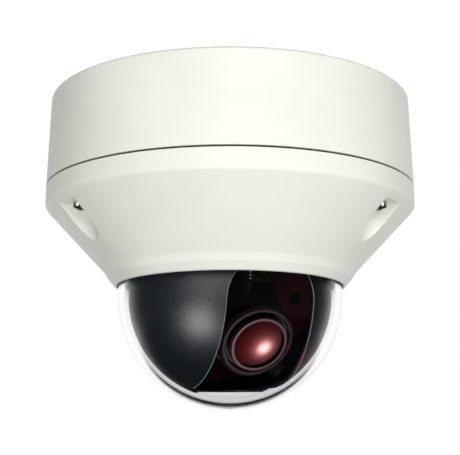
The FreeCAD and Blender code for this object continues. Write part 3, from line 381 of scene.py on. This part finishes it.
def lathe(work, outline, steps=128):
    """Turn a closed outline of (radius, height) in millimetres about Z."""
    rings = []
    for step in range(steps):
        angle = 2 * math.pi * step / steps
        rings.append([
            work.verts.new((radius * MM * math.cos(angle), radius * MM * math.sin(angle), height * MM))
            for radius, height in outline
        ])
    count = len(outline)
    for step in range(steps):
        here, following = rings[step], rings[(step + 1) % steps]
        for index in range(count):
            other = (index + 1) % count
            work.faces.new((here[index], following[index], following[other], here[other]))


def rounded_ring(radius, height, thickness):
    """Outline of a ring with a small round section."""
    points = []
    for step in range(12):
        angle = 2 * math.pi * step / 12
        points.append((radius + thickness * math.cos(angle), height + thickness * math.sin(angle)))
    return points


def tube(work, points, thickness, steps=10):
    """Sweep a small circle along points given in millimetres."""
    rings = []
    for index, point in enumerate(points):
        ahead = points[min(index + 1, len(points) - 1)] - points[max(index - 1, 0)]
        turn = ahead.to_track_quat("Z", "Y")
        circle = []
        for step in range(steps):
            angle = 2 * math.pi * step / steps
            spoke = Vector((thickness * math.cos(angle), thickness * math.sin(angle), 0))
            circle.append(work.verts.new((point + turn @ spoke) * MM))
        rings.append(circle)
    for here, following in zip(rings, rings[1:]):
        for step in range(steps):
            other = (step + 1) % steps
            work.faces.new((here[step], here[other], following[other], following[step]))
    work.faces.new(rings[0])
    work.faces.new(reversed(rings[-1]))


def box_in(turned_frame, node):
    """A node's lowest and highest corners along a turned frame's axes, from its own vertices."""
    back = turned_frame.inverted()
    points = [back @ vertex.co for vertex in NODES[node].data.vertices]
    low = Vector([min(point[axis] for point in points) for axis in range(3)])
    high = Vector([max(point[axis] for point in points) for axis in range(3)])
    return low, high


def status_lamps(work):
    """A row of tiny lamps up the status board's face, a quarter of the way across it."""
    low, high = box_in(PAN, "status_board")
    across = low.x + (high.x - low.x) / 4
    for step in range(LAMP_COUNT):
        height = low.z + (LAMP_FOOT + LAMP_PITCH * step) * MM
        at = Matrix.Translation(Vector((across, low.y, height)))
        bmesh.ops.create_uvsphere(work, u_segments=12, v_segments=8, radius=LAMP_RADIUS * MM, matrix=at)


CROWN_POINTS = 24
CROWN_FLAT = 0.1
LENS_EDGE = 2


def front_element(work, steps=96):
    """The front lens as a body of revolution with a clean crown."""
    crown = (LENS_RIM ** 2 + LENS_RISE ** 2) / (2 * LENS_RISE)
    profile = []
    for index in range(CROWN_POINTS + 1):
        radius = CROWN_FLAT + (LENS_RIM - CROWN_FLAT) * index / CROWN_POINTS
        profile.append((radius, LENS_TIP - crown + math.sqrt(crown ** 2 - radius ** 2)))
    profile.append((LENS_RIM, LENS_TIP - LENS_RISE - LENS_EDGE))
    rings = []
    for radius, height in profile:
        angles = [2 * math.pi * step / steps for step in range(steps)]
        points = [(radius * math.cos(angle), radius * math.sin(angle), height) for angle in angles]
        rings.append([work.verts.new(Vector(point) * MM) for point in points])
    for here, following in zip(rings, rings[1:]):
        for step in range(steps):
            other = (step + 1) % steps
            work.faces.new((here[step], here[other], following[other], following[step]))
    work.faces.new(rings[0])
    work.faces.new(reversed(rings[-1]))


SLOT_STEPS = 24


def slot_outline():
    """The viewing slot's edge on the liner: up one side, round the arch and down the other."""
    rise = ARCH_Z - SLOT_FOOT
    flat = [(-SLOT_HALF, SLOT_FOOT + step * rise / SLOT_STEPS) for step in range(SLOT_STEPS)]
    for step in range(SLOT_STEPS + 1):
        angle = math.pi * (1 - step / SLOT_STEPS)
        flat.append((SLOT_HALF * math.cos(angle), ARCH_Z + SLOT_HALF * math.sin(angle)))
    flat += [(-x, z) for x, z in reversed(flat[:SLOT_STEPS])]
    points = []
    for x, z in flat:
        below = min(0, z - SPHERE_Z)
        points.append(Vector((x, -math.sqrt(LINER_R ** 2 - x ** 2 - below ** 2), z)))
    return points


def trim(materials):
    # The bead along the slot's edge is a painted highlight: a lighter grey strip where the liner's edge
    # catches the light.
    new_piece(
        "slot_highlight_bead",
        lambda work: tube(work, slot_outline(), BEAD_THICKNESS),
        materials["painted_slot_highlight"], "pan_head", PAN,
    )
    new_piece(
        "status_lamps",
        status_lamps,
        materials["gear_plastic"], "pan_head", PAN,
    )
    front = new_piece(
        "front_element",
        front_element,
        materials["red_glass"], "lens_unit", HEAD,
    )
    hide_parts("front_lens")
    new_piece(
        "focus_trim_ring",
        lambda work: lathe(work, rounded_ring(TRIM_RING_R, TRIM_RING_HEIGHT, TRIM_RING_THICKNESS)),
        materials["machined_aluminium"], "focus_collar", HEAD,
    )


# ---------------------------------------------------------------- studio

CAMERA_BACK = 0.500
CAMERA_DROP = 0.1554
CAMERA_PITCH = 11.26
CAMERA_LENS = 89.56
FLOOR_Z = -1.5
FLOOR_HALF = 14.0
GLOW_FRONT = 0.03
GLOW_BACK = 0.9
SHEEN_BACK = 1.3
GLOW_SPAN = (-0.2, 0.8)
SHEEN_SPAN = (0.4, 0.85)
BACKDROP_FOOT = (-0.40, -0.32)
SHEEN_FOOT = (-0.33, -0.25)
DARK = 0.02


def world():
    """A white backdrop with darkness below it for what is seen, and a softer, uneven glow as light.

    What is seen is a camera ray, or one that only clear parts have bent. The glow is dark in front,
    so the dome mirrors little there, and bright behind, so that edges catch it.
    """
    scene_world = bpy.data.worlds.new("studio")
    bpy.context.scene.world = scene_world
    scene_world.use_nodes = True
    tree = scene_world.node_tree
    tree.nodes.clear()

    def node(kind, **settings):
        made = tree.nodes.new(kind)
        for key, value in settings.items():
            setattr(made, key, value)
        return made

    def math_node(operation, first, second):
        made = node("ShaderNodeMath", operation=operation)
        for socket, value in zip(made.inputs, (first, second)):
            if isinstance(value, (int, float)):
                socket.default_value = value
            else:
                tree.links.new(value, socket)
        return made.outputs["Value"]

    def spread(value, *levels):
        made = node("ShaderNodeMapRange", interpolation_type="SMOOTHSTEP")
        tree.links.new(value, made.inputs["Value"])
        for socket, number in zip(("From Min", "From Max", "To Min", "To Max"), levels):
            made.inputs[socket].default_value = number
        return made.outputs["Result"]

    split = node("ShaderNodeSeparateXYZ")
    tree.links.new(node("ShaderNodeTexCoord").outputs["Generated"], split.inputs["Vector"])
    path = node("ShaderNodeLightPath")
    bounced = math_node("ADD", path.outputs["Diffuse Depth"], path.outputs["Glossy Depth"])
    unbounced = math_node("LESS_THAN", bounced, 0.5)
    through = math_node("MULTIPLY", path.outputs["Is Transmission Ray"], unbounced)
    backdrop = node("ShaderNodeBackground")
    backdrop.inputs["Color"].default_value = (1, 1, 1, 1)
    above = spread(split.outputs["Z"], *BACKDROP_FOOT, DARK, 1.0)
    tree.links.new(math_node("MAXIMUM", path.outputs["Is Camera Ray"], above), backdrop.inputs["Strength"])
    glow = node("ShaderNodeBackground")
    diffuse = spread(split.outputs["Y"], *GLOW_SPAN, GLOW_FRONT, GLOW_BACK)
    mirrored = spread(split.outputs["Z"], *SHEEN_FOOT, DARK, 1.0)
    behind = spread(split.outputs["Y"], *SHEEN_SPAN, GLOW_FRONT, SHEEN_BACK)
    sheen = math_node("MULTIPLY", mirrored, behind)
    glossy = math_node("MULTIPLY", path.outputs["Is Glossy Ray"], sheen)
    matt = math_node("MULTIPLY", math_node("SUBTRACT", 1.0, path.outputs["Is Glossy Ray"]), diffuse)
    tree.links.new(math_node("ADD", glossy, matt), glow.inputs["Strength"])
    mix = node("ShaderNodeMixShader")
    tree.links.new(math_node("MAXIMUM", path.outputs["Is Camera Ray"], through), mix.inputs["Fac"])
    tree.links.new(glow.outputs["Background"], mix.inputs[1])
    tree.links.new(backdrop.outputs["Background"], mix.inputs[2])
    tree.links.new(mix.outputs["Shader"], node("ShaderNodeOutputWorld").inputs["Surface"])


def softbox(name, place, aim, size, power, glossy=False, colour=(1, 1, 1), only=None, spare=None):
    """A round area lamp. It may light only some pieces, or spare some."""
    data = bpy.data.lights.new(name, "AREA")
    data.shape = "DISK"
    data.size = size
    data.color = colour
    data.energy = power
    lamp = bpy.data.objects.new(name, data)
    lamp.location = place
    lamp.rotation_euler = (Vector(aim) - Vector(place)).to_track_quat("-Z", "Y").to_euler()
    bpy.context.scene.collection.objects.link(lamp)
    lamp.visible_camera = False
    lamp.visible_glossy = glossy
    lamp.visible_transmission = False
    if only or spare:
        group = bpy.data.collections.new(f"{name} receivers")
        for piece in only or spare:
            group.objects.link(NODES.get(piece) or bpy.data.objects[piece])
        lamp.light_linking.receiver_collection = group
        for member in group.collection_objects:
            member.light_linking.link_state = "INCLUDE" if only else "EXCLUDE"


def around(azimuth, elevation, reach, centre=(0, 0, -0.09)):
    """A place at an azimuth from the front (to the right is positive) and an elevation."""
    turn, rise = math.radians(azimuth), math.radians(elevation)
    level = reach * math.cos(rise)
    step = Vector((level * math.sin(turn), -level * math.cos(turn), reach * math.sin(rise)))
    return Vector(centre) + step


HOUSING = ["base_housing", "cover_shell", "main_gasket", "cover_screws", "conduit_plug", "conduit_oring"]
LINER = ["inner_liner", "lock_knob", "slot_highlight_bead"]
RINGS = ["front_retaining_ring", "lens_barrel", "focus_ring"]
RED_LIT = ["inner_liner", "azimuth_disc", "disc_retainer", "zoom_ring", "turntable", "yoke_arm_right"]
UNKEYED = [*HOUSING, "clear_dome", "inner_liner"]
PINK = (1.0, 0.8, 0.85)
RED = (1.0, 0.10, 0.16)


def housing_lights(middle):
    """The ivory body's soft light, and the floor's."""
    softbox("key", (0.25, -1.9, 0.55), middle, size=1.3, power=29.0, only=HOUSING)
    softbox("floor light", (0, 0, 4.0), (0, 0, FLOOR_Z), size=9.0, power=700.0, only=["floor"])
    softbox("back fill", (-0.6, 1.9, 0.6), middle, size=1.3, power=5.0, only=HOUSING)
    for azimuth in (-80, 80):
        softbox("side fill", around(azimuth, 5, 2.0), middle, size=1.2, power=5.0, only=HOUSING)
    softbox("low", (0.10, -1.5, -1.15), middle, size=1.0, power=25.0, only=HOUSING)


def detail_lights(middle):
    """Small mirrored lamps, each for a few pieces."""
    softbox("inner key", (0.10, -1.8, -0.2), middle, size=1.0, power=1.5, spare=UNKEYED)
    small = ["lock_knob", "status_lamps"]
    softbox("knob light", around(-30, -10, 0.8), middle, size=0.3, power=5.0, glossy=True, only=small)
    for side in (-1, 1):
        high, low = around(side * 55, 9, 1.0), around(side * 50, -65, 1.0)
        softbox("screw light", high, middle, size=0.45, power=1.6, glossy=True, only=["cover_screws"])
        softbox("screw low light", low, middle, size=0.25, power=1.6, glossy=True, only=["cover_screws"])
    softbox("liner spot", around(-37, -31, 1.0), middle, size=0.34, power=5.5, glossy=True, only=LINER)
    softbox("liner wash", around(-20, 14, 1.0), middle, size=0.6, power=6.5, glossy=True, only=LINER)


def lens_lights():
    """The lens's highlight, the rings' sheen, and the red haze inside the dome."""
    wash = around(35, -55, 0.8)
    softbox("ring wash", wash, TILT_CENTRE, size=0.25, power=2.0, glossy=True, colour=PINK, only=RINGS)
    spot = (0.5, -0.03, -0.73)
    softbox("lens spot", spot, TILT_CENTRE, size=0.22, power=3.6, glossy=True, only=["front_element"])
    glow_from, glow_to = HEAD @ Vector((0.018, -0.006, 0.042)), HEAD @ Vector((0.036, -0.012, 0.010))
    softbox("lens glow", glow_from, glow_to, size=0.012, power=0.024, colour=RED, only=RED_LIT)


def lights():
    middle = (CAD_BOX[0] + CAD_BOX[1]) / 2
    housing_lights(middle)
    detail_lights(middle)
    lens_lights()


def camera():
    data = bpy.data.cameras.new("camera")
    data.lens = CAMERA_LENS
    data.sensor_width = 36
    data.clip_start = 0.01
    view = bpy.data.objects.new("camera", data)
    view.location = (0, -CAMERA_BACK, -CAMERA_DROP)
    view.rotation_euler = (math.radians(90 + CAMERA_PITCH), 0, 0)
    bpy.context.scene.collection.objects.link(view)
    bpy.context.scene.camera = view


def floor():
    mesh = bpy.data.meshes.new("floor")
    corners = [(x * FLOOR_HALF, y * FLOOR_HALF, FLOOR_Z) for x, y in ((-1, -1), (1, -1), (1, 1), (-1, 1))]
    mesh.from_pydata(corners, [], [(0, 1, 2, 3)])
    obj = bpy.data.objects.new("floor", mesh)
    bpy.context.scene.collection.objects.link(obj)
    pale = moulded("floor", (0.85, 0.85, 0.85), rough=0.7, grain=40, depth=0.0001, spread=0.01)
    paint(obj, pale.material)
    obj.visible_transmission = False
    obj.visible_glossy = False
    obj.visible_diffuse = False


# ---------------------------------------------------------------- build


def main():
    bpy.context.scene.view_settings.view_transform = "Standard"
    materials = build_materials()
    paint_frame(materials)
    NODES["clear_dome"].visible_shadow = False
    trim(materials)
    world()
    floor()
    lights()
    camera()


main()
